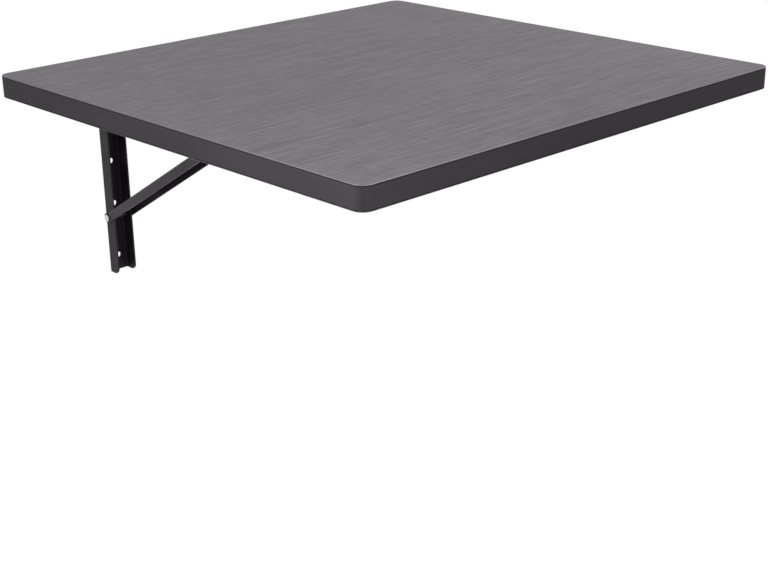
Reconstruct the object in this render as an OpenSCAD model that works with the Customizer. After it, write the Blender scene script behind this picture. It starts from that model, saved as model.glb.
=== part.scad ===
// Folding workbench board on two steel brackets, millimetres.
// The wall is the plane Y = 0 and the board reaches out along -Y, with +Z up.
// The origin is the centre of the outer four wall screw holes.

/* [Board] */
// Width of the board along the wall
board_w = 500; // [440:10:800]
// Depth of the board out from the wall
board_d = 480; // [430:10:600]
// Thickness of the finished board
board_t = 20; // [18:1:30]
// Corner radius of the board seen from above
corner_r = 10; // [4:1:30]
// Thickness of each laminate sheet
laminate_t = 1; // [0.6:0.1:1.5]
// Thickness of the edge band
edge_band_t = 1; // [0.6:0.1:2]
// Gap between the wall and the back edge of the board
back_gap = 1; // [0.5:0.5:4]
// From the left end of the board to the left wall leg
left_inset = 100; // [60:1:130]
// From the right end of the board to the right wall leg
right_inset = 78; // [60:1:130]

/* [Wall leg] */
// Width across the two flanges of a wall leg
leg_w = 21; // [18:0.5:30]
// Depth of the flanges out from the wall
leg_d = 15; // [13:0.5:20]
// From the underside of the board down to the foot of the leg
leg_drop = 196; // [188:1:240]
// Corner radius at the front of the foot
foot_r = 6; // [2:0.5:9]
// Diameter of the wall screw holes
wall_hole_d = 5.5; // [4:0.5:7]
// From the underside of the board down to the top wall hole
top_hole_drop = 35; // [26:1:60]
// From the underside of the board down to the upper middle wall hole
upper_hole_drop = 84; // [70:1:100]
// From the underside of the board down to the lower middle wall hole
lower_hole_drop = 127; // [110:1:130]
// From the foot of the leg up to the bottom wall hole
bottom_hole_rise = 15; // [14:1:40]

/* [Sheet steel] */
// Thickness of the bracket sheet
sheet_t = 1.5; // [1.2:0.1:2]
// Inside radius where the sheet is bent
bend_r = 1; // [0.6:0.1:1.2]
// Play on each side between nested channels
nest_play = 0.3; // [0.2:0.1:0.8]

/* [Strut] */
// From the underside of the board down to the rivet at the foot of the strut
strut_rivet_drop = 138.5; // [130:0.5:150]
// From the wall to the slide pin with the board up
slide_pin_out = 212; // [180:0.5:240]
// Height of the strut above the line between its two pins
strut_above = 4.5; // [4:0.5:6]
// Depth of the strut below the line between its two pins
strut_below = 5; // [4.5:0.5:7]
// Length of the strut past the slide pin
strut_tip = 8; // [6:0.5:9]
// Diameter of the slide pin
slide_pin_d = 6; // [4:0.5:7]

/* [Fold] */
// From the hinge rivet to the top and to the front edge of the leg
hinge_edge = 5.5; // [4.5:0.5:7]
// Gap between the folded arm and the front edge of the leg
fold_gap = 3; // [2.5:0.5:5]
// Gap that folded parts keep from the wall
wall_gap = 1; // [0.5:0.5:2]
// Length of the arm past the slide pin of the folded board
arm_end = 14; // [11:1:30]
// Radius of the lower front corner of the arm
arm_end_r = 9; // [4:1:12]

/* [Rivets] */
// Shank diameter of the hinge and strut rivets
rivet_d = 5; // [4:0.5:6]
// Head diameter of the hinge and strut rivets
rivet_head_d = 8; // [7:0.5:10]
// Head height of the hinge and strut rivets
rivet_head_h = 2.2; // [1.5:0.1:3]
// Outer diameter of the hinge spacers
spacer_d = 10; // [8:0.5:10.5]
// Radial running clearance of every pin in its hole
pin_play = 0.05; // [0.02:0.01:0.1]

/* [Latch] */
// Length of the latch plate from its nose to its rivet
latch_len = 65; // [58:1:80]
// Thickness of the latch plate
latch_t = 1.5; // [1.2:0.1:1.8]
// Width of the latch plate between its ears and its finger wings
latch_w = 14; // [12:0.5:16]
// How far the finger wings reach out past the arm
wing_reach = 9; // [6:0.5:14]
// Length of a finger wing along the arm
wing_len = 16; // [12:1:20]
// Shank diameter of the latch rivet
latch_rivet_d = 2.5; // [2:0.1:2.5]
// Thickness of the leaf spring
leaf_t = 0.5; // [0.3:0.1:0.6]
// Width of the leaf spring
leaf_w = 8; // [6:0.5:9]

/* [Arm screws] */
// From the wall to the first screw through the arm
first_screw_out = 40; // [30:1:50]
// Spacing of the three screws behind the strut
screw_pitch = 65; // [50:1:66]
// Shank diameter of the screws
screw_d = 4; // [3:0.5:4.5]
// Head diameter of the screws
screw_head_d = 8; // [7:0.5:9]
// Head height of the screws
screw_head_h = 2.2; // [1.5:0.1:2.6]
// Depth of the screws in the board
screw_bite = 13; // [10:1:15]

/* [Hidden] */
$fn = 64;

// Colours
laminate_grey = [0.48, 0.48, 0.49];
edge_grey = [0.29, 0.28, 0.29];
core_tan = [0.62, 0.50, 0.36];
bracket_grey = [0.27, 0.26, 0.28];
zinc = [0.82, 0.82, 0.84];
spring_steel = [0.45, 0.47, 0.50];

// Heights from the origin, and places along the wall
bottom_hole_drop = leg_drop - bottom_hole_rise;
underside_z = (top_hole_drop + bottom_hole_drop) / 2;
board_top_z = underside_z + board_t;
wall_hole_drops = [top_hole_drop, upper_hole_drop, lower_hole_drop, bottom_hole_drop];
leg_spacing = board_w - left_inset - right_inset - leg_w;
left_x = -leg_spacing / 2;
right_x = leg_spacing / 2;
board_x = left_x - leg_w / 2 - left_inset + board_w / 2;

// Nested channels: the leg lies in the strut, and the strut in the arm
strut_inside = leg_w + 2 * nest_play;
strut_w = strut_inside + 2 * sheet_t;
arm_inside = strut_w + 2 * nest_play;
arm_w = arm_inside + 2 * sheet_t;

// Hinge rivet, and the depth at which the folded arm just clears the wall
hinge_out = leg_d - hinge_edge;
hinge_drop = sheet_t + fold_gap + hinge_edge;
hinge_z = underside_z - hinge_drop;
arm_heel_r = hinge_out - wall_gap;
arm_d = hinge_drop + arm_heel_r;
leg_top_z = hinge_z + hinge_edge;
leg_foot_z = underside_z - leg_drop;

// Strut rivet and slide pin: folded, the strut lies straight down inside the arm
strut_rivet_out = strut_below + wall_gap;
strut_rivet_z = underside_z - strut_rivet_drop;
slide_z = hinge_z - (hinge_out - strut_rivet_out);
strut_rise = atan2(slide_z - strut_rivet_z, slide_pin_out - strut_rivet_out);
strut_len = norm([slide_pin_out - strut_rivet_out, slide_z - strut_rivet_z]);
folded_pin_out = hinge_out + hinge_z - strut_rivet_z + strut_len;
arm_reach = folded_pin_out + arm_end;
strut_web_start = leg_drop - strut_rivet_drop + fold_gap;
slot_play = 0.2;

// Latch plate: above the strut when folded, in front of its tip when the board is up
latch_pass = 0.6;
nose_gap = 0.4;
latch_z = slide_z + strut_above + latch_pass;
latch_top_z = latch_z + latch_t;
tip_out = slide_pin_out + strut_tip * cos(strut_rise) - strut_above * sin(strut_rise);
tip_z = slide_z + strut_tip * sin(strut_rise) + strut_above * cos(strut_rise);
nose_out = tip_out + (tip_z - latch_z) * tan(strut_rise) + nose_gap;
nose_len = 6;
nose_w = arm_inside - 4 * nest_play;
latch_rivet_gap = 0.15;
latch_pin_out = nose_out + latch_len;
latch_pin_z = latch_top_z + latch_rivet_gap + latch_rivet_d / 2;
latch_tail = 3;
lug_r = latch_pin_z - latch_z;
latch_head_d = 2 * latch_rivet_d;
latch_head_h = 1.2;
wing_out = nose_out + nose_len + 2;
wing_r = 4;
window_play = 1.5;
window_low = 0.5;
window_high = 0.4;

// Leaf spring: flat under the arm, held by a screw, its free end on the latch plate
leaf_screw_out = latch_pin_out + latch_len / 2;
leaf_tail = 7;
leaf_rise_out = latch_pin_out - 6;
leaf_touch_out = latch_pin_out - 30;
leaf_lip = 4;
leaf_touch_gap = 0.1;
leaf_drop = underside_z - sheet_t - latch_top_z - leaf_touch_gap;

// Screws through the arm, and the holes for them
screw_hole_play = 0.25;
pilot_extra = 0.5;
end_screw_back = 20;
plain_screws_out = [
    for (step = [0:2]) first_screw_out + step * screw_pitch,
    arm_reach - end_screw_back
];
screws_out = concat(plain_screws_out, [leaf_screw_out]);
through = 1;

// Cuts one corner of radius r off an outline, the corner being at the origin
module corner(r) {
    difference() {
        translate([-through, -through]) square(r + through);
        translate([r, r]) circle(r);
    }
}

// Rectangle with its own radius at each corner: low start, low end, high end, high start
module trimmed(start, low, end, high, radii) {
    difference() {
        translate([start, low]) square([end - start, high - low]);
        translate([start, low]) corner(radii[0]);
        translate([end, low]) mirror([1, 0]) corner(radii[1]);
        translate([end, high]) mirror([1, 0]) mirror([0, 1]) corner(radii[2]);
        translate([start, high]) mirror([0, 1]) corner(radii[3]);
    }
}

// Bar with a closed side along y = 0 and two rounded corners beside it
module round_backed(width, depth, r) {
    translate([-width / 2, -depth]) square([width, depth - r]);
    translate([r - width / 2, -2 * r]) square([width - 2 * r, 2 * r]);
    for (side = [-1, 1]) translate([side * (width / 2 - r), -r]) circle(r);
}

// Cross-section of bent channel, closed along y = 0 and open towards -y
module u_section(width, depth) {
    difference() {
        round_backed(width, depth, sheet_t + bend_r);
        translate([0, -sheet_t]) round_backed(width - 2 * sheet_t, depth, bend_r);
    }
}

// Side outline drawn as (distance out, height), given a width across the bracket
module across(width) {
    translate([-width / 2, 0, 0]) rotate([90, 0, 90]) linear_extrude(width) mirror([1, 0]) children();
}

// Round bar that lies across the bracket
module cross_bar(out, z, d, length) {
    translate([-length / 2, -out, z]) rotate([0, 90, 0]) cylinder(d = d, h = length);
}

// Half outline of a domed head that stands on y = 0
module dome_outline(d, h) {
    ball_r = (d * d / 4 + h * h) / (2 * h);
    intersection() {
        translate([0, h - ball_r]) circle(ball_r);
        square([d / 2, h]);
    }
}

// Rivet with a domed head at each end, lying across the bracket
module cross_rivet(out, z, d, grip, head_d, head_h) {
    translate([0, -out, z]) rotate([0, 90, 0]) rotate_extrude() {
        translate([0, -grip / 2]) square([d / 2, grip]);
        for (side = [0, 1]) mirror([0, side]) translate([0, grip / 2]) dome_outline(head_d, head_h);
    }
}

// Plan of the board, drawn in from its finished edge
module board_plan(inset) {
    translate([board_x, -back_gap - board_d / 2])
        trimmed(inset - board_w / 2, inset - board_d / 2, board_w / 2 - inset, board_d / 2 - inset,
                [for (i = [0:3]) corner_r - inset]);
}

// Pilot holes for the arm screws of both brackets
module pilot_holes() {
    for (x = [left_x, right_x], out = screws_out)
        translate([x, -out, underside_z - through])
            cylinder(d = screw_d + 2 * pin_play, h = through + screw_bite + pilot_extra);
}

module board_core() {
    color(core_tan) difference() {
        translate([0, 0, underside_z + laminate_t])
            linear_extrude(board_t - 2 * laminate_t) board_plan(edge_band_t);
        pilot_holes();
    }
}

module top_laminate() {
    color(laminate_grey) translate([0, 0, board_top_z - laminate_t])
        linear_extrude(laminate_t) board_plan(0);
}

module bottom_laminate() {
    color(laminate_grey) difference() {
        translate([0, 0, underside_z]) linear_extrude(laminate_t) board_plan(0);
        pilot_holes();
    }
}

module edge_band() {
    color(edge_grey) translate([0, 0, underside_z + laminate_t])
        linear_extrude(board_t - 2 * laminate_t) difference() {
            board_plan(0);
            board_plan(edge_band_t);
        }
}

// Channel screwed to the wall, its top rounded about the hinge rivet
module wall_leg(x) {
    color(bracket_grey) translate([x, 0, 0]) difference() {
        intersection() {
            translate([0, 0, leg_foot_z]) linear_extrude(leg_top_z - leg_foot_z) u_section(leg_w, leg_d);
            across(leg_w + 2 * through)
                trimmed(0, leg_foot_z, leg_d, leg_top_z, [foot_r / 3, foot_r, hinge_edge, foot_r / 3]);
        }
        for (drop = wall_hole_drops)
            translate([0, through, underside_z - drop]) rotate([90, 0, 0])
                cylinder(d = wall_hole_d, h = 2 * through + sheet_t);
        cross_bar(hinge_out, hinge_z, rivet_d + 2 * pin_play, leg_w + 2 * through);
        cross_bar(strut_rivet_out, strut_rivet_z, rivet_d + 2 * pin_play, leg_w + 2 * through);
    }
}

// Slot in which the slide pin travels
module slide_slot() {
    r = slide_pin_d / 2 + slot_play;
    translate([slide_pin_out, slide_z - r]) square([folded_pin_out - slide_pin_out, 2 * r]);
    for (out = [slide_pin_out, folded_pin_out]) translate([out, slide_z]) circle(r);
}

// Notch that lets the head of the strut rivet into the folded arm
module rivet_notch() {
    out = hinge_out + hinge_z - strut_rivet_z;
    r = rivet_head_d / 2 + fold_gap / 2;
    translate([out, slide_z]) circle(r);
    translate([out - r, underside_z - arm_d - through]) square([2 * r, slide_z - underside_z + arm_d + through]);
}

// Window that a finger wing of the latch reaches through
module wing_window() {
    trimmed(wing_out - window_play, latch_z - window_low,
            wing_out + wing_len + window_play, underside_z - sheet_t - window_high,
            [for (i = [0:3]) window_play]);
}

// Channel under the board that hinges on the leg and carries the slot and the latch
module arm(x) {
    color(bracket_grey) translate([x, 0, 0]) difference() {
        intersection() {
            translate([0, -wall_gap, underside_z]) rotate([90, 0, 0])
                linear_extrude(arm_reach - wall_gap) u_section(arm_w, arm_d);
            across(arm_w + 2 * through)
                trimmed(wall_gap, underside_z - arm_d, arm_reach, underside_z,
                        [arm_heel_r, arm_end_r, sheet_t, sheet_t]);
        }
        across(arm_w + 2 * through) {
            slide_slot();
            rivet_notch();
            wing_window();
        }
        cross_bar(hinge_out, hinge_z, rivet_d + 2 * pin_play, arm_w + 2 * through);
        cross_bar(latch_pin_out, latch_pin_z, latch_rivet_d + 2 * pin_play, arm_w + 2 * through);
        for (out = screws_out)
            translate([0, -out, underside_z - sheet_t - through])
                cylinder(d = screw_d + 2 * screw_hole_play, h = sheet_t + 2 * through);
    }
}

// Moves a piece drawn along the strut, with the strut rivet at its origin, into place
module on_strut(x) {
    translate([x, -strut_rivet_out, strut_rivet_z]) rotate([-strut_rise, 0, 0]) children();
}

// Channel that props the arm, with its web cut away where its ears straddle the leg
module strut(x) {
    color(bracket_grey) on_strut(x) difference() {
        union() {
            intersection() {
                translate([0, 0, strut_above]) rotate([90, 0, 0])
                    linear_extrude(strut_len + strut_tip) u_section(strut_w, strut_above + strut_below);
                across(strut_w + 2 * through)
                    trimmed(0, -strut_below, strut_len + strut_tip, strut_above + through,
                            [bend_r, strut_below / 2, bend_r, bend_r]);
            }
            for (side = [-1, 1])
                translate([side * (strut_w - sheet_t) / 2, 0, 0]) cross_bar(0, 0, 2 * strut_below, sheet_t);
        }
        translate([-strut_inside / 2, -strut_web_start, -strut_below - through])
            cube([strut_inside, strut_web_start + strut_below + through, 2 * (strut_below + through)]);
        cross_bar(0, 0, rivet_d + 2 * pin_play, strut_w + 2 * through);
        cross_bar(strut_len, 0, slide_pin_d + 2 * pin_play, strut_w + 2 * through);
    }
}

// Rivet on which the arm and the board fold
module hinge_rivet(x) {
    color(zinc) translate([x, 0, 0])
        cross_rivet(hinge_out, hinge_z, rivet_d, arm_w + 4 * pin_play, rivet_head_d, rivet_head_h);
}

// Two spacers that centre the leg in the wider arm
module hinge_spacers(x) {
    spacer_t = (arm_inside - leg_w) / 2 - 2 * pin_play;
    color(zinc) translate([x, 0, 0]) for (side = [-1, 1])
        translate([side * (leg_w + spacer_t) / 2, 0, 0]) difference() {
            cross_bar(hinge_out, hinge_z, spacer_d, spacer_t);
            cross_bar(hinge_out, hinge_z, rivet_d + 2 * pin_play, spacer_t + 2 * through);
        }
}

// Rivet that holds the ears of the strut on the leg
module strut_rivet(x) {
    color(zinc) translate([x, 0, 0])
        cross_rivet(strut_rivet_out, strut_rivet_z, rivet_d, strut_w + 4 * pin_play, rivet_head_d, rivet_head_h);
}

// Pin riveted flush in the upper end of the strut
module slide_pin(x) {
    color(zinc) translate([x, 0, 0]) cross_bar(slide_pin_out, slide_z, slide_pin_d, strut_w);
}

// Plan of the latch plate, drawn as (across, distance out)
module latch_plan() {
    wing_span = arm_w + 2 * wing_reach;
    trimmed(-nose_w / 2, nose_out, nose_w / 2, nose_out + nose_len, [for (i = [0:3]) bend_r]);
    translate([-latch_w / 2, nose_out + nose_len / 2]) square([latch_w, latch_len + latch_tail - nose_len / 2]);
    trimmed(-wing_span / 2, wing_out, wing_span / 2, wing_out + wing_len, [for (i = [0:3]) wing_r]);
}

// Plate that drops in front of the tip of the strut and is lifted by its finger wings
module latch_plate(x) {
    color(spring_steel) translate([x, 0, 0]) difference() {
        union() {
            translate([0, 0, latch_z]) linear_extrude(latch_t) mirror([0, 1]) latch_plan();
            for (side = [-1, 1])
                translate([side * (latch_w - latch_t) / 2, 0, 0]) across(latch_t) {
                    translate([latch_pin_out, latch_pin_z]) circle(lug_r);
                    translate([latch_pin_out - lug_r, latch_z]) square([2 * lug_r, latch_pin_z - latch_z]);
                }
        }
        cross_bar(latch_pin_out, latch_pin_z, latch_rivet_d + 2 * pin_play, latch_w + 2 * through);
    }
}

// Rivet on which the latch plate tips
module latch_rivet(x) {
    color(zinc) translate([x, 0, 0])
        cross_rivet(latch_pin_out, latch_pin_z, latch_rivet_d, arm_w + 4 * pin_play, latch_head_d, latch_head_h);
}

// Leaf spring that presses the latch plate down
module latch_spring(x) {
    top_z = underside_z - sheet_t;
    color(spring_steel) translate([x, 0, 0]) difference() {
        across(leaf_w) polygon([
            [leaf_screw_out + leaf_tail, top_z],
            [leaf_rise_out, top_z],
            [leaf_touch_out, top_z - leaf_drop + leaf_t],
            [leaf_touch_out - leaf_lip, top_z - leaf_drop + 2 * leaf_t],
            [leaf_touch_out - leaf_lip, top_z - leaf_drop + leaf_t],
            [leaf_touch_out, top_z - leaf_drop],
            [leaf_rise_out, top_z - leaf_t],
            [leaf_screw_out + leaf_tail, top_z - leaf_t]
        ]);
        translate([0, -leaf_screw_out, top_z - leaf_t - through])
            cylinder(d = screw_d + 2 * screw_hole_play, h = leaf_t + 2 * through);
    }
}

// Pan-head screw whose head seats at height seat_z
module arm_screw(out, seat_z) {
    point = screw_d / 2;
    translate([0, -out, seat_z]) rotate_extrude() {
        mirror([0, 1]) dome_outline(screw_head_d, screw_head_h);
        square([screw_d / 2, underside_z + screw_bite - point - seat_z]);
        translate([0, underside_z + screw_bite - point - seat_z])
            polygon([[0, 0], [screw_d / 2, 0], [0, point]]);
    }
}

// Screws that fix the arm and the leaf spring to the board
module arm_screws(x) {
    color(zinc) translate([x, 0, 0]) {
        for (out = plain_screws_out) arm_screw(out, underside_z - sheet_t);
        arm_screw(leaf_screw_out, underside_z - sheet_t - leaf_t);
    }
}

board_core();
top_laminate();
bottom_laminate();
edge_band();
wall_leg(left_x);  // left_wall_leg
arm(left_x);  // left_arm
strut(left_x);  // left_strut
hinge_rivet(left_x);  // left_hinge_rivet
hinge_spacers(left_x);  // left_hinge_spacers
strut_rivet(left_x);  // left_strut_rivet
slide_pin(left_x);  // left_slide_pin
latch_plate(left_x);  // left_latch_plate
latch_rivet(left_x);  // left_latch_rivet
latch_spring(left_x);  // left_latch_spring
arm_screws(left_x);  // left_arm_screws
wall_leg(right_x);  // right_wall_leg
arm(right_x);  // right_arm
strut(right_x);  // right_strut
hinge_rivet(right_x);  // right_hinge_rivet
hinge_spacers(right_x);  // right_hinge_spacers
strut_rivet(right_x);  // right_strut_rivet
slide_pin(right_x);  // right_slide_pin
latch_plate(right_x);  // right_latch_plate
latch_rivet(right_x);  // right_latch_rivet
latch_spring(right_x);  // right_latch_spring
arm_screws(right_x);  // right_arm_screws
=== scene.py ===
import math

import bmesh
import bpy
from mathutils import Matrix, Vector


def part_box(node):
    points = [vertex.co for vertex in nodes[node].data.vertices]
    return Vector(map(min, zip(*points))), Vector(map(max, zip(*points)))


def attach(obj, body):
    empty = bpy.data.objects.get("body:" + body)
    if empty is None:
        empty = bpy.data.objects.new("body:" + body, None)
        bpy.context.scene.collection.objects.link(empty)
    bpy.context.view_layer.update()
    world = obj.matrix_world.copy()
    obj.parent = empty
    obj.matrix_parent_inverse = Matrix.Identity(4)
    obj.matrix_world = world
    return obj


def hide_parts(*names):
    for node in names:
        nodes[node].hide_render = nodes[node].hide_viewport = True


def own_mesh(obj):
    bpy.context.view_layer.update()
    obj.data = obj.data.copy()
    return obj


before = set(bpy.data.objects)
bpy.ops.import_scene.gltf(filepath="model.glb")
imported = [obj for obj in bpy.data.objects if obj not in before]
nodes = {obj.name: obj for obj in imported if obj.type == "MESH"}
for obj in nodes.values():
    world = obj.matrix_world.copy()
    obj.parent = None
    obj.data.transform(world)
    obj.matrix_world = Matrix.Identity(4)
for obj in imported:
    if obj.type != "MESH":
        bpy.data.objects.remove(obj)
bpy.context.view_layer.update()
mm = 0.001
print("frame loaded with", len(nodes), "nodes")


# Shader helpers: every material starts with the first and is painted with the others
def startLook(name, rough, metallic=0.0, specular=0.5, glossGreen=1.0):
    look = bpy.data.materials.new(name)
    look.use_nodes = True
    shader = look.node_tree.nodes["Principled BSDF"]
    shader.inputs["Roughness"].default_value = rough
    shader.inputs["Metallic"].default_value = metallic
    shader.inputs["Specular IOR Level"].default_value = specular
    shader.inputs["Specular Tint"].default_value = (1.0, glossGreen, 1.0, 1.0)
    return look, shader


def addNode(look, kind, **settings):
    made = look.node_tree.nodes.new(kind)
    for key, value in settings.items():
        setattr(made, key, value)
    return made


def join(look, output, target):
    look.node_tree.links.new(output, target)


# Noise whose grains are as long and as fine as the three scales per metre say; lift takes it from a part
# of the noise of its own, warp bends it (metres, and how often per metre), and aside shifts it (metres)
def grain(look, perMetre, detail, roughness, lift, warp=None, aside=0.0):
    place = addNode(look, "ShaderNodeTexCoord")
    source = place.outputs["Object"]
    if warp:
        wander = addNode(look, "ShaderNodeTexNoise")
        wander.inputs["Scale"].default_value = warp[1]
        wander.inputs["Detail"].default_value = 1.0
        join(look, source, wander.inputs["Vector"])
        strayed = addNode(look, "ShaderNodeVectorMath", operation="SCALE")
        strayed.inputs["Scale"].default_value = warp[0]
        join(look, wander.outputs["Color"], strayed.inputs[0])
        moved = addNode(look, "ShaderNodeVectorMath", operation="ADD")
        join(look, source, moved.inputs[0])
        join(look, strayed.outputs[0], moved.inputs[1])
        source = moved.outputs[0]
    mapping = addNode(look, "ShaderNodeMapping")
    mapping.inputs["Scale"].default_value = perMetre
    mapping.inputs["Location"].default_value = (lift, lift * 1.7 + aside * perMetre[1], lift * 0.6)
    join(look, source, mapping.inputs["Vector"])
    noise = addNode(look, "ShaderNodeTexNoise")
    noise.inputs["Scale"].default_value = 1.0
    noise.inputs["Detail"].default_value = detail
    noise.inputs["Roughness"].default_value = roughness
    join(look, mapping.outputs[0], noise.inputs["Vector"])
    return noise.outputs["Fac"]


# Stretches the part of a value between two bounds over a new range
def spread(look, value, bounds, newRange=(0.0, 1.0)):
    span = addNode(look, "ShaderNodeMapRange")
    for socket, number in zip(("From Min", "From Max", "To Min", "To Max"), (*bounds, *newRange)):
        span.inputs[socket].default_value = number
    join(look, value, span.inputs["Value"])
    return span.outputs["Result"]


def tint(look, factor, first, second):
    mix = addNode(look, "ShaderNodeMix", data_type="RGBA")
    for socket, colour in ((mix.inputs[6], first), (mix.inputs[7], second)):
        if isinstance(colour, tuple):
            socket.default_value = (*colour, 1.0)
        else:
            join(look, colour, socket)
    join(look, factor, mix.inputs[0])
    return mix.outputs[2]


def combine(look, first, second, operation="ADD"):
    maths = addNode(look, "ShaderNodeMath", operation=operation)
    for socket, value in zip(maths.inputs, (first, second)):
        if isinstance(value, float):
            socket.default_value = value
        else:
            join(look, value, socket)
    return maths.outputs[0]


# A noise brought to swing about nought, times a share of it
def swing(look, noise, share):
    return combine(look, combine(look, noise, -0.5), share, "MULTIPLY")


# One at the ends of a span along X or Y, fading to nought further in, both in metres from the middle
def nearEnds(look, axis, middle, full, nought):
    place = addNode(look, "ShaderNodeTexCoord")
    parts = addNode(look, "ShaderNodeSeparateXYZ")
    join(look, place.outputs["Object"], parts.inputs[0])
    away = combine(look, combine(look, parts.outputs[axis], -middle), 0.0, "ABSOLUTE")
    return spread(look, away, (nought, full))


def paint(look, shader, colour):
    join(look, colour, shader.inputs["Base Color"])


# Lets a noise move the roughness between two values
def varyRough(look, shader, noise, rough):
    join(look, spread(look, noise, (0.3, 0.7), rough), shader.inputs["Roughness"])


def addBump(look, shader, height, strength, distance):
    bump = addNode(look, "ShaderNodeBump")
    bump.inputs["Strength"].default_value = strength
    bump.inputs["Distance"].default_value = distance
    join(look, height, bump.inputs["Height"])
    join(look, bump.outputs[0], shader.inputs["Normal"])


# In the finishes below, a grain is given as its scales per metre, its detail and its roughness,
# and a bump as its strength and its height in metres

# Board laminate: pressed grain along the wall edge, with a few longer strokes, a painted highlight beside
# each short stroke, and a faint grain across it
laminateFinish = {
    "pale": (0.180, 0.168, 0.181),
    "dark": (0.119, 0.1085, 0.120),
    "stroke": (0.070, 0.061, 0.071),
    "gleam": (0.290, 0.276, 0.292),
    "gloss": 0.4,
    "strands": ((24, 640, 640), 3.0, 0.55),
    "pores": ((45, 1300, 1300), 2.0, 0.5),
    "clouds": ((3, 11, 11), 2.0, 0.5),
    "cloudShare": 0.4,
    "ripples": ((12, 105, 105), 1.0, 0.4),
    "ripplePatches": ((5, 13, 13), 2.0, 0.5),  # where the grain ripples
    "rippleBounds": (0.46, 0.64),
    "rippleShare": 0.6,
    "crossing": ((420, 60, 60), 1.0, 0.5),
    "crossingShare": 0.65,
    "toneBounds": (0.98, 1.42),
    "strokes": ((12, 230, 230), 2.0, 0.45),
    "strokeBounds": (0.60, 0.76),
    "strokeShare": 0.5,
    "longStrokes": ((2.2, 110, 110), 1.0, 0.4),
    "longStrokeBounds": (0.66, 0.78),
    "longStrokeShare": 0.42,
    "gleamAside": 0.0026,  # from a stroke to the painted highlight beside it, in metres
    "gleamBounds": (0.60, 0.74),
    "gleamShare": 0.45,
    "wander": (0.004, 8.0),  # the warp of all that runs along the grain
    "rough": (0.58, 0.42),
    "strokeRelief": -1.2,
    "bump": (0.4, 0.0002),
}


def laminateLook(name, lift):
    given = laminateFinish
    wander = given["wander"]
    look, shader = startLook(name, 0.5, specular=given["gloss"], glossGreen=0.95)
    strands = grain(look, *given["strands"], lift, wander)
    pores = grain(look, *given["pores"], lift + 3.0, wander)
    clouds = grain(look, *given["clouds"], lift + 7.0)
    ripples = grain(look, *given["ripples"], lift + 9.0, wander)
    patches = grain(look, *given["ripplePatches"], lift + 13.0)
    crossing = grain(look, *given["crossing"], lift + 21.0)
    fine = combine(look, strands, pores)
    mixed = combine(look, fine, combine(look, clouds, given["cloudShare"], "MULTIPLY"))
    rippled = swing(look, ripples, spread(look, patches, given["rippleBounds"], (0.0, given["rippleShare"])))
    mixed = combine(look, combine(look, mixed, rippled), swing(look, crossing, given["crossingShare"]))
    body = tint(look, spread(look, mixed, given["toneBounds"]), given["dark"], given["pale"])

    strokes = grain(look, *given["strokes"], lift + 5.0, wander)
    longStrokes = grain(look, *given["longStrokes"], lift + 17.0, wander)
    short = spread(look, strokes, given["strokeBounds"], (0.0, given["strokeShare"]))
    long = spread(look, longStrokes, given["longStrokeBounds"], (0.0, given["longStrokeShare"]))
    stroke = combine(look, short, long, "MAXIMUM")
    beside = grain(look, *given["strokes"], lift + 5.0, wander, given["gleamAside"])
    gleam = spread(look, beside, given["gleamBounds"], (0.0, given["gleamShare"]))
    litBody = tint(look, gleam, body, given["gleam"])
    paint(look, shader, tint(look, stroke, litBody, given["stroke"]))
    varyRough(look, shader, strands, given["rough"])
    relief = combine(look, fine, combine(look, stroke, given["strokeRelief"], "MULTIPLY"))
    addBump(look, shader, relief, *given["bump"])
    return look


# Board outline, for the looks that change along it
boardLow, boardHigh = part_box("top_laminate")
boardMiddle, boardHalf = (boardLow + boardHigh) / 2, (boardHigh - boardLow) / 2
cornerRadius = 10 * mm
cornerFades = (0.3, 1.0)  # in from the ends of the board, from full to nought, in corner radii


# One in the bends at the four corners of the board, nought along its straight edges
def inCorners(look):
    ends = []
    for i, axis in enumerate("XY"):
        full, nought = (boardHalf[i] - radii * cornerRadius for radii in cornerFades)
        ends.append(nearEnds(look, axis, boardMiddle[i], full, nought))
    return combine(look, *ends, "MULTIPLY")


# Arris of the laminate: a painted highlight, paler along the front, less at the sides, with painted shade in
# the corners
arrisFinish = {
    "front": ((0.20, 0.19, 0.20), (0.38, 0.36, 0.38)),
    "side": ((0.15, 0.142, 0.15), (0.27, 0.256, 0.27)),
    # painted shade in the corners of the arris
    "corner": (0.105, 0.097, 0.106),
    "frontFades": (2 * mm, 8 * mm),  # in from the front and back ends, from full to nought
    "highlightStreaks": ((90, 90, 90), 3.0, 0.6),
    "pits": ((900, 900, 900), 2.0, 0.5),
    "rough": (0.30, 0.44),
    "bump": (0.1, 0.0001),
}


def arrisLook():
    given = arrisFinish
    look, shader = startLook("paintedHighlightArris", 0.34)
    highlightStreaks = grain(look, *given["highlightStreaks"], 2.0)
    atFront = nearEnds(look, "Y", boardMiddle.y, *(boardHalf.y - inset for inset in given["frontFades"]))
    # painted highlight along the arris, paler at the front than at the sides, and painted shade in the
    # corners
    highlighted = tint(look, atFront, tint(look, highlightStreaks, *given["side"]), tint(look, highlightStreaks, *given["front"]))
    paint(look, shader, tint(look, inCorners(look), highlighted, given["corner"]))
    varyRough(look, shader, highlightStreaks, given["rough"])
    addBump(look, shader, grain(look, *given["pits"], 1.0), *given["bump"])
    return look


# Dark lines: painted shade in the seams along the edge band, and painted shade on the rims of the rivet heads
darkLines = {
    "seamShadeLine": {"dark": (0.008, 0.007, 0.008), "pale": (0.018, 0.016, 0.017), "gloss": 0.1},
    "rimShade": {"dark": (0.006, 0.005, 0.006), "pale": (0.016, 0.014, 0.015), "gloss": 0.15},
}
darkLineGrain = {"mottle": ((500, 500, 900), 3.0, 0.6), "rough": (0.6, 0.8), "bump": (0.4, 0.0002)}


def darkLineLook(name):
    given = {**darkLineGrain, **darkLines[name]}
    look, shader = startLook(name, 0.7, specular=given["gloss"])
    mottle = grain(look, *given["mottle"], 8.0)
    paint(look, shader, tint(look, mottle, given["dark"], given["pale"]))
    varyRough(look, shader, mottle, given["rough"])
    addBump(look, shader, mottle, *given["bump"])
    return look


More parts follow.
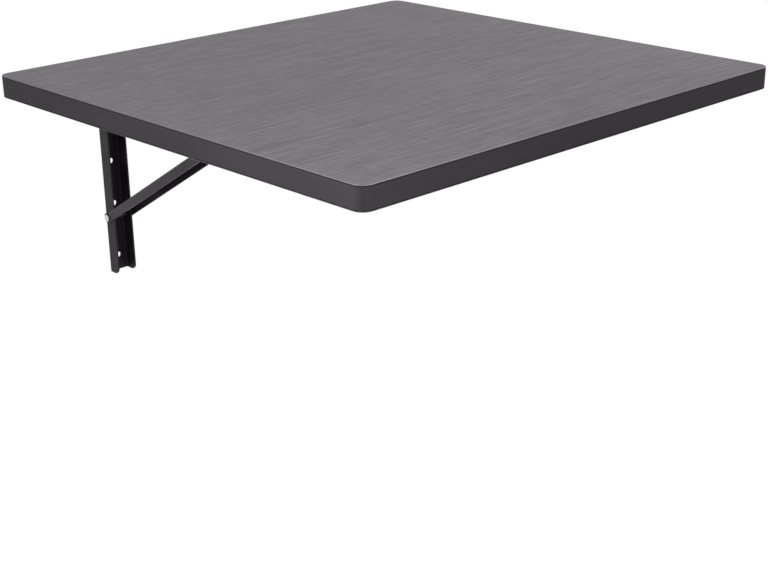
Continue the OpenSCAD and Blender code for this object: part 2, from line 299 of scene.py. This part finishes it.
# Edge band: satin strip, fine lines along its length
bandFinish = {
    "pale": (0.061, 0.0560, 0.061),
    "dark": (0.047, 0.0428, 0.047),
    "bent": (0.034, 0.031, 0.034),  # painted shade where the strip bends round a corner
    "gloss": 0.10,
    "lines": ((18, 18, 700), 4.0, 0.6),
    "clouds": ((7, 7, 40), 2.0, 0.5),
    "toneBounds": (0.36, 0.64),
    "rough": (0.46, 0.58),
    "bump": (0.12, 0.0001),
}


def bandLook():
    given = bandFinish
    look, shader = startLook("satinEdgeBand", 0.5, specular=given["gloss"], glossGreen=0.90)
    lines = grain(look, *given["lines"], 1.0)
    clouds = grain(look, *given["clouds"], 4.0)
    both = combine(look, combine(look, lines, clouds), 0.5, "MULTIPLY")
    straight = tint(look, spread(look, both, given["toneBounds"]), given["dark"], given["pale"])
    # painted shade in the corners of the board
    paint(look, shader, tint(look, inCorners(look), straight, given["bent"]))
    varyRough(look, shader, lines, given["rough"])
    addBump(look, shader, lines, *given["bump"])
    return look


# Raw particle board inside the laminate
chipFinish = {
    "pale": (0.42, 0.31, 0.19),
    "dark": (0.24, 0.16, 0.09),
    "gloss": 0.2,
    "chipsPerMetre": 420.0,
    "shade": ((300, 300, 500), 4.0, 0.6),
    "rough": (0.75, 0.95),
    "bump": (0.6, 0.0006),
}


def chipLook():
    given = chipFinish
    look, shader = startLook("rawParticleBoard", 0.85, specular=given["gloss"])
    place = addNode(look, "ShaderNodeTexCoord")
    cells = addNode(look, "ShaderNodeTexVoronoi")
    cells.inputs["Scale"].default_value = given["chipsPerMetre"]
    join(look, place.outputs["Object"], cells.inputs["Vector"])
    shade = grain(look, *given["shade"], 2.0)
    paint(look, shader, tint(look, shade, given["dark"], given["pale"]))
    varyRough(look, shader, shade, given["rough"])
    addBump(look, shader, cells.outputs["Distance"], *given["bump"])
    return look


# Powder coat: full outside, with a painted highlight along the rounded edges, a lighter lit copy on the
# struts, and a darker copy as painted shade inside the channels
coatFinishes = {
    "powderCoat": {
        "dark": (0.0070, 0.0055, 0.0070), "pale": (0.0150, 0.0125, 0.0150),
        "rough": 0.52, "gloss": 0.32, "scuffed": 0.25,
    },
    # painted highlight on the rounded cut edges, with more scuffs
    "powderCoatEdgeHighlight": {
        "dark": (0.012, 0.010, 0.012), "pale": (0.022, 0.019, 0.022),
        "rough": 0.40, "gloss": 0.31, "scuffed": 0.45,
    },
    # a lighter lit copy of the coat, painted light on the struts
    "litStrutCoat": {
        "dark": (0.010, 0.0080, 0.010), "pale": (0.021, 0.018, 0.021),
        "rough": 0.46, "gloss": 0.44, "scuffed": 0.45,
    },
    # a darker copy of the coat, painted shade inside the channels
    "shadedCoatInside": {
        "dark": (0.0050, 0.0038, 0.0050), "pale": (0.0100, 0.0080, 0.0100),
        "rough": 0.56, "gloss": 0.29, "scuffed": 0.10,
    },
}
coatGrain = {
    "peel": ((850, 850, 850), 2.0, 0.5),
    "smudge": ((38, 38, 38), 3.0, 0.6),
    "scuffs": ((110, 110, 260), 4.0, 0.65),
    "speckBounds": (0.80, 1.20),
    "scuffBounds": (0.60, 0.74),
    "scuffColour": (0.055, 0.050, 0.054),
    "roughSwing": (-0.06, 0.08),
    "bump": (0.30, 0.00012),
}


def coatLook(name):
    given = {**coatGrain, **coatFinishes[name]}
    look, shader = startLook(name, given["rough"], specular=given["gloss"], glossGreen=0.90)
    peel = grain(look, *given["peel"], 1.0)
    smudge = grain(look, *given["smudge"], 5.0)
    scuffs = grain(look, *given["scuffs"], 9.0)
    speckled = spread(look, combine(look, smudge, peel), given["speckBounds"])
    worn = spread(look, scuffs, given["scuffBounds"], (0.0, given["scuffed"]))
    coat = tint(look, speckled, given["dark"], given["pale"])
    paint(look, shader, tint(look, worn, coat, given["scuffColour"]))
    varyRough(look, shader, smudge, [given["rough"] + more for more in given["roughSwing"]])
    addBump(look, shader, peel, *given["bump"])
    return look


# Bare metals: zinc outside, dark steel as painted shade on the rivet shanks, rolled spring steel
metalFinishes = {
    "brightZinc": {
        "dull": (0.50, 0.51, 0.53), "clean": (0.72, 0.71, 0.69), "rough": (0.24, 0.40),
        "patches": (260, 260, 260), "scratches": (180, 2600, 2600),
    },
    "shadedShank": {
        "dull": (0.035, 0.034, 0.036), "clean": (0.080, 0.077, 0.080), "rough": (0.42, 0.60),
        "patches": (420, 420, 420), "scratches": (2200, 300, 300),
    },
    "rolledSpringSteel": {
        "dull": (0.24, 0.25, 0.28), "clean": (0.36, 0.37, 0.39), "rough": (0.30, 0.46),
        "patches": (60, 60, 60), "scratches": (1500, 40, 1500),
    },
}
# Detail and roughness of the grain of every metal, whose scales per metre stand above
metalGrain = {"patchDetail": (3.0, 0.6), "scratchDetail": (2.0, 0.5), "bump": (0.12, 0.00005)}


def metalLook(name):
    given = {**metalGrain, **metalFinishes[name]}
    look, shader = startLook(name, 0.4, metallic=1.0)
    patches = grain(look, given["patches"], *given["patchDetail"], 2.0)
    scratches = grain(look, given["scratches"], *given["scratchDetail"], 6.0)
    paint(look, shader, tint(look, patches, given["dull"], given["clean"]))
    varyRough(look, shader, patches, given["rough"])
    addBump(look, shader, scratches, *given["bump"])
    return look


topLook = laminateLook("pressedGrainTop", 0.0)
underLook = laminateLook("pressedGrainUnder", 11.0)
arris = arrisLook()
seamShade, rimShade = (darkLineLook(name) for name in darkLines)
edgeLook = bandLook()
coreLook = chipLook()
coatFlat, coatEdgeHighlight, coatLitStrut, coatInsideShade = (coatLook(name) for name in coatFinishes)
zinc, shadedShank, springSteel = (metalLook(name) for name in metalFinishes)
print("materials ready")

sharpOver = 50  # degrees: only real corners, such as those of a screw recess, stay sharp


# Turns a bmesh into a finished piece that rides a body and stands for its CAD node
def addPiece(name, bm, looks, body, slotName, *standsFor):
    bmesh.ops.recalc_face_normals(bm, faces=bm.faces)
    for face in bm.faces:
        face.smooth = True
    for edge in bm.edges:
        edge.smooth = edge.calc_face_angle(0) < math.radians(sharpOver)
    mesh = bpy.data.meshes.new(name)
    bm.to_mesh(mesh)
    bm.free()
    for look in looks:
        mesh.materials.append(look)
    piece = bpy.data.objects.new(name, mesh)
    bpy.context.scene.collection.objects.link(piece)
    piece.modifiers.new("flatFaces", "WEIGHTED_NORMAL").keep_sharp = True
    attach(piece, body)
    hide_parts(*standsFor)
    return piece


# Board: its finished edges, and the edge band with a butt joint at the back
boardShape = {
    "cornerSteps": 14, "roundSteps": 4, "arris": 0.6 * mm, "seam": 0.5 * mm,
    "bandThick": 1 * mm, "bandJoint": 0.2 * mm, "jointPlace": 0.36,  # of the board's width
}
underLow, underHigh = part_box("bottom_laminate")


# Board outline drawn in from its finished edge, corners rounded
def boardOutline(inset):
    steps = boardShape["cornerSteps"]
    radius = cornerRadius - inset
    points = []
    for k, (atHighX, atHighY) in enumerate(((1, 1), (0, 1), (0, 0), (1, 0))):
        x = boardHigh.x - cornerRadius if atHighX else boardLow.x + cornerRadius
        y = boardHigh.y - cornerRadius if atHighY else boardLow.y + cornerRadius
        for i in range(steps + 1):
            a = math.radians(90 * k + 90 * i / steps)
            points.append((x + radius * math.cos(a), y + radius * math.sin(a)))
    return points


# Stacks outlines at (inset, height) and closes the stack at both ends
def stackedSheet(profile):
    bm = bmesh.new()
    rings = [[bm.verts.new((x, y, z)) for x, y in boardOutline(inset)] for inset, z in profile]
    for lower, upper in zip(rings, rings[1:]):
        for i in range(len(lower)):
            j = (i + 1) % len(lower)
            bm.faces.new((lower[i], lower[j], upper[j], upper[i]))
    bm.faces.new(rings[0][::-1])
    bm.faces.new(rings[-1])
    return bm


# Quarter-round between two (inset, height) points, bulging outwards
def roundOver(fromInset, fromZ, toInset, toZ):
    steps = boardShape["roundSteps"]
    made = []
    for i in range(steps + 1):
        a = math.radians(90 * i / steps)
        inset = fromInset + (toInset - fromInset) * (1 - math.cos(a))
        made.append((inset, fromZ + (toZ - fromZ) * math.sin(a)))
    return made


# Gives the faces between two heights, all but the level ones, another of the piece's finishes
def finishBetween(bm, low, high, index, level=0.95):
    bm.normal_update()
    for face in bm.faces:
        z = face.calc_center_median().z
        if low < z < high and abs(face.normal.z) < level:
            face.material_index = index


def makeBoard():
    r, s = boardShape["arris"], boardShape["seam"]
    top = [*roundOver(s, boardLow.z, 0, boardLow.z + s / 2), *roundOver(0, boardHigh.z - r, r, boardHigh.z)]
    sheet = stackedSheet(top)
    finishBetween(sheet, boardHigh.z - r, boardHigh.z, 1)
    finishBetween(sheet, boardLow.z, boardLow.z + s / 2, 2)
    addPiece("boardTopSheet", sheet, [topLook, arris, seamShade], "board", "laminate", "top_laminate")
    under = [*roundOver(r, underLow.z, 0, underLow.z + r), *roundOver(0, underHigh.z - s / 2, s, underHigh.z)]
    sheet = stackedSheet(under)
    finishBetween(sheet, underHigh.z - s / 2, underHigh.z, 1)
    addPiece("boardUnderSheet", sheet, [underLook, seamShade], "board", "laminate", "bottom_laminate")
    nodes["board_core"].material_slots[0].material = coreLook


# Edge band: one strip swept round the board, its two ends butted at the back
def makeBand():
    s, gap, thick = boardShape["seam"], boardShape["bandJoint"], boardShape["bandThick"]
    low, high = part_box("edge_band")
    outer, inner = boardOutline(0), boardOutline(thick)
    backStart = next(i for i, (x, y) in enumerate(outer) if abs(y - boardHigh.y) < 1e-6)
    order = [(backStart + 1 + i) % len(outer) for i in range(len(outer))]
    joint = boardLow.x + boardShape["jointPlace"] * (boardHigh.x - boardLow.x)
    start, end = (
        ((x, boardHigh.y), (x, boardHigh.y - thick)) for x in (joint - gap / 2, joint + gap / 2)
    )
    profile = [(thick, low.z), *roundOver(s, low.z, 0, low.z + s)]
    profile += [*roundOver(0, high.z - s, s, high.z), (thick, high.z)]
    bm = bmesh.new()
    rings = []
    for outside, inside in [start, *((outer[i], inner[i]) for i in order), end]:
        outside, inside = Vector(outside), Vector(inside)
        rings.append([bm.verts.new((*outside.lerp(inside, inset / thick), z)) for inset, z in profile])
    for a, b in zip(rings, rings[1:]):
        for j in range(len(profile)):
            k = (j + 1) % len(profile)
            bm.faces.new((a[j], a[k], b[k], b[j]))
    bm.faces.new(rings[0])
    bm.faces.new(rings[-1][::-1])
    finishBetween(bm, high.z - s, high.z, 1)
    finishBetween(bm, low.z, low.z + s, 1)
    addPiece("boardEdgeBand", bm, [edgeLook, seamShade], "board", "edge_band", "edge_band")


makeBoard()
makeBand()
print("board made")

# Sheet steel: the bracket's own form with its cut edges rounded over, widths in mm
sheetPieces = {
    "wall_leg": {
        "piece": "WallLeg", "body": "wall_legs", "slot": "bracket", "round": 0.30,
        "insideWidth": 18.0, "opensTo": (0, -1, 0),
    },
    "arm": {
        "piece": "FoldingArm", "body": "board", "slot": "bracket", "round": 0.30,
        "insideWidth": 25.2, "opensTo": (0, 0, -1),
    },
    "strut": {
        "piece": "Strut", "body": "{side}_strut", "slot": "bracket", "round": 0.30,
        "insideWidth": 21.6, "opensTo": (0, -0.519, -0.855),  # square to its slope of 31 degrees
    },
    "latch_plate": {"piece": "LatchPlate", "body": "{side}_latch", "slot": "spring_steel", "round": 0.25},
    "latch_spring": {
        "piece": "LeafSpring", "body": "board", "slot": "spring_steel", "round": 0.10, "pressedTo": 0.70,
    },
    "hinge_spacers": {"piece": "HingeSpacers", "body": "wall_legs", "slot": "zinc", "round": 0.15},
}
# Outside and cut-edge finish of the coated pieces, the leg's and arm's cut edges with a painted highlight and
# the strut's outside a lighter lit copy of the coat; the bare ones have the finish of their slot all over
bracketCoats = {
    "wall_leg": [coatFlat, coatEdgeHighlight], "arm": [coatFlat, coatEdgeHighlight], "strut": [coatLitStrut, coatFlat],
}
bareSteels = {"spring_steel": springSteel, "zinc": zinc}
# What counts as one point, one plane and a cut edge, in metres and degrees
steelWork = {"mergeWithin": 2e-6, "flatWithin": 0.6, "cutOver": 40, "roundSegments": 2}
# What counts as the inside of a channel: how deep its walls reach, and how far a face turns to the opening
insideWork = {
    "slack": 0.05 * mm, "wallDepth": 1.5 * mm, "turned": 0.5,
    "edgeInset": 0.01 * mm, "edgeTurned": 0.2,
}


def roundedNode(node, width):
    given = steelWork
    bm = bmesh.new()
    bm.from_mesh(nodes[node].data)
    bmesh.ops.remove_doubles(bm, verts=bm.verts, dist=given["mergeWithin"])
    flat = math.radians(given["flatWithin"])
    bmesh.ops.dissolve_limit(bm, angle_limit=flat, verts=bm.verts, edges=bm.edges)
    for face in bm.faces:
        face.material_index = 0
    sharp = math.radians(given["cutOver"])
    cut = [e for e in bm.edges if len(e.link_faces) == 2 and e.calc_face_angle(0) > sharp]
    bmesh.ops.bevel(bm, geom=cut, offset=width, offset_type="ABSOLUTE", segments=given["roundSegments"],
                    profile=0.5, affect="EDGES", clamp_overlap=False, loop_slide=False, material=1)
    return bm


# Gives the faces inside a channel the darker coat that paints shade there
def shadeInside(bm, middle, width, opensTo):
    given = insideWork
    bm.normal_update()
    for face in bm.faces:
        across = face.calc_center_median().x - middle
        facing = face.normal.dot(Vector(opensTo))
        if face.material_index == 0 and abs(across) < width / 2 + given["slack"]:
            turnsIn = face.normal.x * across < -given["turned"] * abs(across)
            onWall = abs(across) > width / 2 - given["wallDepth"] and turnsIn
            if onWall or facing > given["turned"]:
                face.material_index = 2
        elif abs(across) < width / 2 - given["edgeInset"] and facing > given["edgeTurned"]:
            face.material_index = 2  # where a flange leaves the web


def makeSheetSteel(side):
    for node, given in sheetPieces.items():
        low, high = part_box(f"{side}_{node}")
        bm = roundedNode(f"{side}_{node}", given["round"] * mm)
        body = given["body"].format(side=side)
        slot = given["slot"]
        if "opensTo" in given:
            shadeInside(bm, (low.x + high.x) / 2, given["insideWidth"] * mm, given["opensTo"])
            looks = [*bracketCoats[node], coatInsideShade]
        else:
            looks = [bareSteels[slot]] * 2
        piece = addPiece(side + given["piece"], bm, looks, body, slot, f"{side}_{node}")
        if "pressedTo" in given:  # the leaf gets a mesh of its own
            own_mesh(piece)


# Round bar turned from (along, radius) points, laid along an axis from a start point
def turned(profile, start, axis, steps=48):
    bm = bmesh.new()
    turn = Vector((0, 0, 1)).rotation_difference(Vector(axis)).to_matrix()
    rings = []
    for along, radius in profile:
        if radius < 1e-7:  # an end that is one point
            rings.append([bm.verts.new(start + turn @ Vector((0, 0, along)))])
            continue
        rings.append([
            bm.verts.new(start + turn @ Vector((radius * math.cos(a), radius * math.sin(a), along)))
            for a in (2 * math.pi * i / steps for i in range(steps))
        ])
    for lower, upper in zip(rings, rings[1:]):
        for i in range(steps):
            j = (i + 1) % steps
            below, above = len(lower), len(upper)
            corners = [lower[i % below], lower[j % below], upper[j % above], upper[i % above]]
            distinct = list(dict.fromkeys(corners))  # beside such an end only three
            if len(distinct) > 2:
                bm.faces.new(distinct)
    return bm


# Where a bar along X starts: the middle of its low end
def barStart(low, high):
    return Vector((low.x, (low.y + high.y) / 2, (low.z + high.z) / 2))


# Domed rivets, in mm: a struck centre on each head, and painted shade on the rim where the head sits on the
# coat
rivetShapes = {
    "hinge_rivet": {"piece": "HingeRivet", "body": "wall_legs", "shank": 2.5, "head": 2.2, "dimple": 0.9},
    "strut_rivet": {"piece": "StrutRivet", "body": "wall_legs", "shank": 2.5, "head": 2.2, "dimple": 0.9},
    "latch_rivet": {"piece": "LatchRivet", "body": "board", "shank": 1.25, "head": 1.2, "dimple": 0.5},
}
rivetRim = 0.22  # part of the head's radius given painted shade
struckCentre = ((0.35, 0.0), (0.30, 0.55), (0.0, 1.0))  # its depths and radii, in radii of the dimple


# Radius of the ball that a dome is part of
def ballRadius(radius, height):
    return (radius * radius + height * height) / (2 * height)


# Dome from its crown to its rim, as (height, radius)
def domeProfile(radius, height, steps=10):
    ball = ballRadius(radius, height)
    top = math.asin(min(1.0, radius / ball))
    angles = [top * i / steps for i in range(steps + 1)]
    return [(height - ball * (1 - math.cos(a)), ball * math.sin(a)) for a in angles]


def struckDome(radius, height, dimple):
    ball = ballRadius(radius, height)
    rim = height - ball * (1 - math.cos(math.asin(dimple / ball)))
    struck = [(rim - dimple * depth, dimple * out) for depth, out in struckCentre]
    return struck + [p for p in domeProfile(radius, height) if p[1] > dimple]


# Painted shade on the shank of a rivet, as dark steel, and on the rim of both heads
def finishRivet(bm, start, length, radius, head):
    nearly = 0.01
    for face in bm.faces:
        reach = [abs(v.co.x - start.x) / mm for v in face.verts]
        out = [math.hypot(v.co.y - start.y, v.co.z - start.z) / mm for v in face.verts]
        if min(reach) > head - nearly and max(reach) < length - head + nearly:
            face.material_index = 1
        elif min(out) > radius * (1 - rivetRim):
            face.material_index = 2


def makeRivets(side):
    for node, given in rivetShapes.items():
        low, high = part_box(f"{side}_{node}")
        length, radius = (high.x - low.x) / mm, (high.z - low.z) / 2 / mm
        head, shank = given["head"], given["shank"]
        dome = struckDome(radius, head, given["dimple"])
        profile = [(head - h, r) for h, r in dome] + [(head, shank), (length - head, shank)]
        profile += [(length - head + h, r) for h, r in dome[::-1]]
        start = barStart(low, high)
        bm = turned([(a * mm, r * mm) for a, r in profile], start, (1, 0, 0))
        finishRivet(bm, start, length, radius, head)
        # zinc heads, painted shade on the shank and on the rim of each head
        looks = [zinc, shadedShank, rimShade]
        addPiece(side + given["piece"], bm, looks, given["body"], "zinc", f"{side}_{node}")


# Slide pin, flush in the strut with its ends spread by a punch: (depth, radius) of the punch mark, in metres
pinShape = {
    "punchMark": [(0.35 * mm, 0.0), (0.30 * mm, 0.8 * mm), (0, 1.1 * mm)],
    "chamfer": 0.25 * mm,
}


def makeSlidePin(side):
    low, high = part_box(f"{side}_slide_pin")
    length, radius = high.x - low.x, (high.z - low.z) / 2
    chamfer = pinShape["chamfer"]
    end = pinShape["punchMark"] + [(0, radius - chamfer), (chamfer, radius)]
    profile = end + [(length - a, r) for a, r in end[::-1]]
    bm = turned(profile, barStart(low, high), (1, 0, 0))
    addPiece(side + "SlidePin", bm, [zinc], f"{side}_strut", "zinc", f"{side}_slide_pin")


# Pan-head screw in mm, drawn head down with its seat at the origin and its point up
screwShape = {
    "head": 4.0, "headHigh": 2.2, "headSteps": 40, "headCloses": 0.01,
    "recessWide": 1.0, "recessLong": 4.4, "recessDeep": 1.3, "recessTaper": 0.45, "cutterOver": 0.4,
    "shank": 2.0, "core": 1.45, "pitch": 1.6, "plain": 1.5, "runIn": 1.0, "point": 2.0,
    "startsInside": 0.3, "around": 20, "ringsPerTurn": 8,
    "firstTurn": 23, "turnEach": 57,  # degrees, as the screws came to rest
}


# Cross recess: two tapered blades, to be cut from the head
def recessMesh():
    given = screwShape
    bm = bmesh.new()
    for turn in (0, 90):
        blade = bmesh.ops.create_cube(bm, size=1.0)["verts"]
        for v in blade:
            taper = 1.0 if v.co.z < 0 else given["recessTaper"]
            depth = (v.co.z + 0.5) * (given["recessDeep"] + given["cutterOver"])
            v.co = Vector((v.co.x * given["recessLong"] * taper, v.co.y * given["recessWide"] * taper,
                           -given["headHigh"] - given["cutterOver"] + depth)) * mm
        quarter = Matrix.Rotation(math.radians(turn), 3, "Z")
        bmesh.ops.rotate(bm, verts=blade, cent=(0, 0, 0), matrix=quarter)
    bmesh.ops.recalc_face_normals(bm, faces=bm.faces)
    mesh = bpy.data.meshes.new("recess")
    bm.to_mesh(mesh)
    bm.free()
    return mesh


def plainHeadMesh():
    given = screwShape
    head = [(-h, r) for h, r in domeProfile(given["head"], given["headHigh"])]
    head += [(0, given["shank"]), (given["headCloses"], 0)]
    bm = turned([(a * mm, r * mm) for a, r in head], Vector((0, 0, 0)), (0, 0, 1), given["headSteps"])
    bmesh.ops.recalc_face_normals(bm, faces=bm.faces)
    mesh = bpy.data.meshes.new("screwHead")
    bm.to_mesh(mesh)
    bm.free()
    return mesh


# Cuts one mesh from another and gives the result as a bmesh
def cutFrom(mesh, cutMesh):
    body = bpy.data.objects.new(mesh.name, mesh)
    cutter = bpy.data.objects.new(cutMesh.name, cutMesh)
    for each in (body, cutter):
        bpy.context.scene.collection.objects.link(each)
    cut = body.modifiers.new("cut", "BOOLEAN")
    cut.object = cutter
    cut.operation = "DIFFERENCE"
    cut.solver = "EXACT"
    cut.use_self = True
    bpy.context.view_layer.update()
    result = bpy.data.meshes.new_from_object(body.evaluated_get(bpy.context.evaluated_depsgraph_get()))
    bm = bmesh.new()
    bm.from_mesh(result)
    for each in (body, cutter):
        bpy.data.objects.remove(each)
    for each in (mesh, cutMesh, result):
        bpy.data.meshes.remove(each)
    return bm


# Threaded shank: the crest winds up the core, which starts inside the head, and ends in a point
def addThread(bm, length):
    given = screwShape
    around, rings = given["around"], []
    end = length / mm - given["point"]
    count = int(end / given["pitch"] * given["ringsPerTurn"])
    for z in [-given["startsInside"]] + [end * k / count for k in range(count + 1)]:
        rise = min(1.0, max(0.0, (z - given["plain"]) / given["runIn"]))
        ring = []
        for i in range(around):
            a = 2 * math.pi * i / around
            phase = (z / given["pitch"] - i / around) % 1.0
            crest = max(0.0, 1 - abs(phase - 0.5) * 4) * rise  # half of each turn is crest
            r = given["core"] + (given["shank"] - given["core"]) * crest
            ring.append(bm.verts.new((r * math.cos(a) * mm, r * math.sin(a) * mm, z * mm)))
        rings.append(ring)
    bm.faces.new(rings[0][::-1])
    tip = bm.verts.new((0, 0, length))
    for lower, upper in zip(rings, rings[1:]):
        for i in range(around):
            j = (i + 1) % around
            bm.faces.new((lower[i], lower[j], upper[j], upper[i]))
    for i in range(around):
        bm.faces.new((rings[-1][i], rings[-1][(i + 1) % around], tip))


def screwMesh(length):
    bm = cutFrom(plainHeadMesh(), recessMesh())
    addThread(bm, length)
    mesh = bpy.data.meshes.new("screw")
    bm.to_mesh(mesh)
    bm.free()
    return mesh


# Finds each screw of a node by the gaps between its vertices along the arm
def screwSpots(node, gap=4 * mm):
    found = []
    for v in sorted(nodes[node].data.vertices, key=lambda v: v.co.y):
        if not found or v.co.y - found[-1][1].y > gap:
            found.append([v.co.copy(), v.co.copy()])
        low, high = found[-1]
        found[-1] = [Vector(map(min, low, v.co)), Vector(map(max, high, v.co))]
    return found


def makeScrews(side):
    given = screwShape
    bm = bmesh.new()
    for k, (low, high) in enumerate(screwSpots(f"{side}_arm_screws")):
        seat = low.z + given["headHigh"] * mm
        mesh = screwMesh(high.z - seat)
        turn = Matrix.Rotation(math.radians(given["firstTurn"] + given["turnEach"] * k), 4, "Z")
        mesh.transform(Matrix.Translation(((low.x + high.x) / 2, (low.y + high.y) / 2, seat)) @ turn)
        bm.from_mesh(mesh)
        bpy.data.meshes.remove(mesh)
    addPiece(side + "ArmScrews", bm, [zinc], "board", "zinc", f"{side}_arm_screws")


for side in ("left", "right"):
    makeSheetSteel(side)
    makeRivets(side)
    makeSlidePin(side)
    makeScrews(side)
    print(side, "bracket made")

# Stage, in metres: pale floor well below the bench, fading into the white surround
stageSet = {
    "middle": (0, -0.24, -1.0), "reach": 1.5, "squares": 8, "fades": (0.7, 1.47),
    "colour": (0.8, 0.8, 0.8), "glow": 0.96,
}


# One for the rays that see or mirror the surround, nought for those that it lights
def seeingRays(owner):
    ray = addNode(owner, "ShaderNodeLightPath")
    seen = combine(owner, ray.outputs["Is Camera Ray"], ray.outputs["Is Glossy Ray"], "MAXIMUM")
    return combine(owner, seen, ray.outputs["Is Transmission Ray"], "MAXIMUM")


# Matt floor that glows for the seeing rays; it is clear far out, and when seen from below
def floorLook():
    given = stageSet
    look = bpy.data.materials.new("paleFloor")
    look.use_nodes = True
    look.node_tree.nodes.clear()
    matt = addNode(look, "ShaderNodeBsdfDiffuse")
    matt.inputs["Color"].default_value = (*given["colour"], 1)
    glow = addNode(look, "ShaderNodeEmission")
    join(look, spread(look, seeingRays(look), (0.0, 1.0), (0.0, given["glow"])), glow.inputs["Strength"])
    both = addNode(look, "ShaderNodeAddShader")
    join(look, matt.outputs[0], both.inputs[0])
    join(look, glow.outputs[0], both.inputs[1])
    clear = addNode(look, "ShaderNodeBsdfTransparent")
    place = addNode(look, "ShaderNodeTexCoord")
    away = addNode(look, "ShaderNodeVectorMath", operation="DISTANCE")
    join(look, place.outputs["Object"], away.inputs[0])
    away.inputs[1].default_value = given["middle"]
    fade = spread(look, away.outputs["Value"], given["fades"])
    sight = addNode(look, "ShaderNodeNewGeometry")
    mix = addNode(look, "ShaderNodeMixShader")
    join(look, combine(look, fade, sight.outputs["Backfacing"], "MAXIMUM"), mix.inputs[0])
    join(look, both.outputs[0], mix.inputs[1])
    join(look, clear.outputs[0], mix.inputs[2])
    out = addNode(look, "ShaderNodeOutputMaterial")
    join(look, mix.outputs[0], out.inputs[0])
    return look


def makeFloor():
    given = stageSet
    bm = bmesh.new()
    bmesh.ops.create_grid(bm, x_segments=given["squares"], y_segments=given["squares"], size=given["reach"])
    bmesh.ops.translate(bm, verts=bm.verts, vec=given["middle"])
    mesh = bpy.data.meshes.new("floor")
    bm.to_mesh(mesh)
    bm.free()
    mesh.materials.append(floorLook())
    floor = bpy.data.objects.new("floor", mesh)
    bpy.context.scene.collection.objects.link(floor)


# Surround: white where it is seen, and a faint light all round on the bench
surround = {"colour": (1.0, 1.0, 1.0), "ambient": 0.04, "seen": 1.0}


def makeWorld():
    given = surround
    world = bpy.data.worlds.new("surround")
    bpy.context.scene.world = world
    world.use_nodes = True
    background = world.node_tree.nodes["Background"]
    background.inputs["Color"].default_value = (*given["colour"], 1)
    strength = spread(world, seeingRays(world), (0.0, 1.0), (given["ambient"], given["seen"]))
    join(world, strength, background.inputs["Strength"])


# Lamps: place, size and power of each soft box, all aimed at the board
lamps = {
    "nearSoftBox": {"at": (-0.80, -0.70, 0.36), "size": 0.4, "watts": 6.05, "aim": (-0.26, -0.40, 0.12)},
    "cornerSoftBox": {"at": (-0.45, -1.05, 0.45), "size": 0.4, "watts": 1.35, "aim": (-0.26, -0.48, 0.12)},
    "rightSoftBox": {"at": (0.70, -0.70, 1.00), "size": 0.5, "watts": 5.05, "aim": (0.24, -0.40, 0.12)},
}


def makeLamps():
    for name, given in lamps.items():
        light = bpy.data.lights.new(name, "AREA")
        light.shape = "SQUARE"
        light.size = given["size"]
        light.energy = given["watts"]
        lamp = bpy.data.objects.new(name, light)
        lamp.location = given["at"]
        lamp.rotation_euler = (Vector(given["aim"]) - lamp.location).to_track_quat("-Z", "Y").to_euler()
        lamp.visible_glossy = False  # the surround alone is mirrored
        bpy.context.scene.collection.objects.link(lamp)


# Camera: the photograph's own viewpoint, worked out from the edges of the board
viewpoint = {
    "fromCorner": (-634.049, -1168.086, 295.209),  # from the board's square back left top corner, in mm
    "yaw": 43.5156, "pitch": 21.5508, "roll": -0.7315,
    "lens": 67.9956, "sensor": 36.0, "clip": (0.05, 50.0),
}


def makeCamera():
    given = viewpoint
    yaw, pitch, roll = (math.radians(given[k]) for k in ("yaw", "pitch", "roll"))
    ahead = Vector((math.sin(yaw) * math.cos(pitch), math.cos(yaw) * math.cos(pitch), -math.sin(pitch)))
    right = Vector((math.cos(yaw), -math.sin(yaw), 0))
    up = right.cross(ahead)
    xAxis = right * math.cos(roll) + up * math.sin(roll)
    yAxis = up * math.cos(roll) - right * math.sin(roll)
    turn = Matrix((xAxis, yAxis, -ahead)).transposed().to_4x4()
    corner = Vector((boardLow.x, boardHigh.y, boardHigh.z))
    lens = bpy.data.cameras.new("photoCamera")
    lens.lens = given["lens"]
    lens.sensor_width = given["sensor"]
    lens.clip_start, lens.clip_end = given["clip"]
    camera = bpy.data.objects.new("photoCamera", lens)
    camera.matrix_world = Matrix.Translation(corner + Vector(given["fromCorner"]) * mm) @ turn
    bpy.context.scene.collection.objects.link(camera)
    bpy.context.scene.camera = camera


makeFloor()
makeWorld()
makeLamps()
makeCamera()
bpy.context.scene.view_settings.view_transform = "Standard"
print("stage, lamps and camera ready")
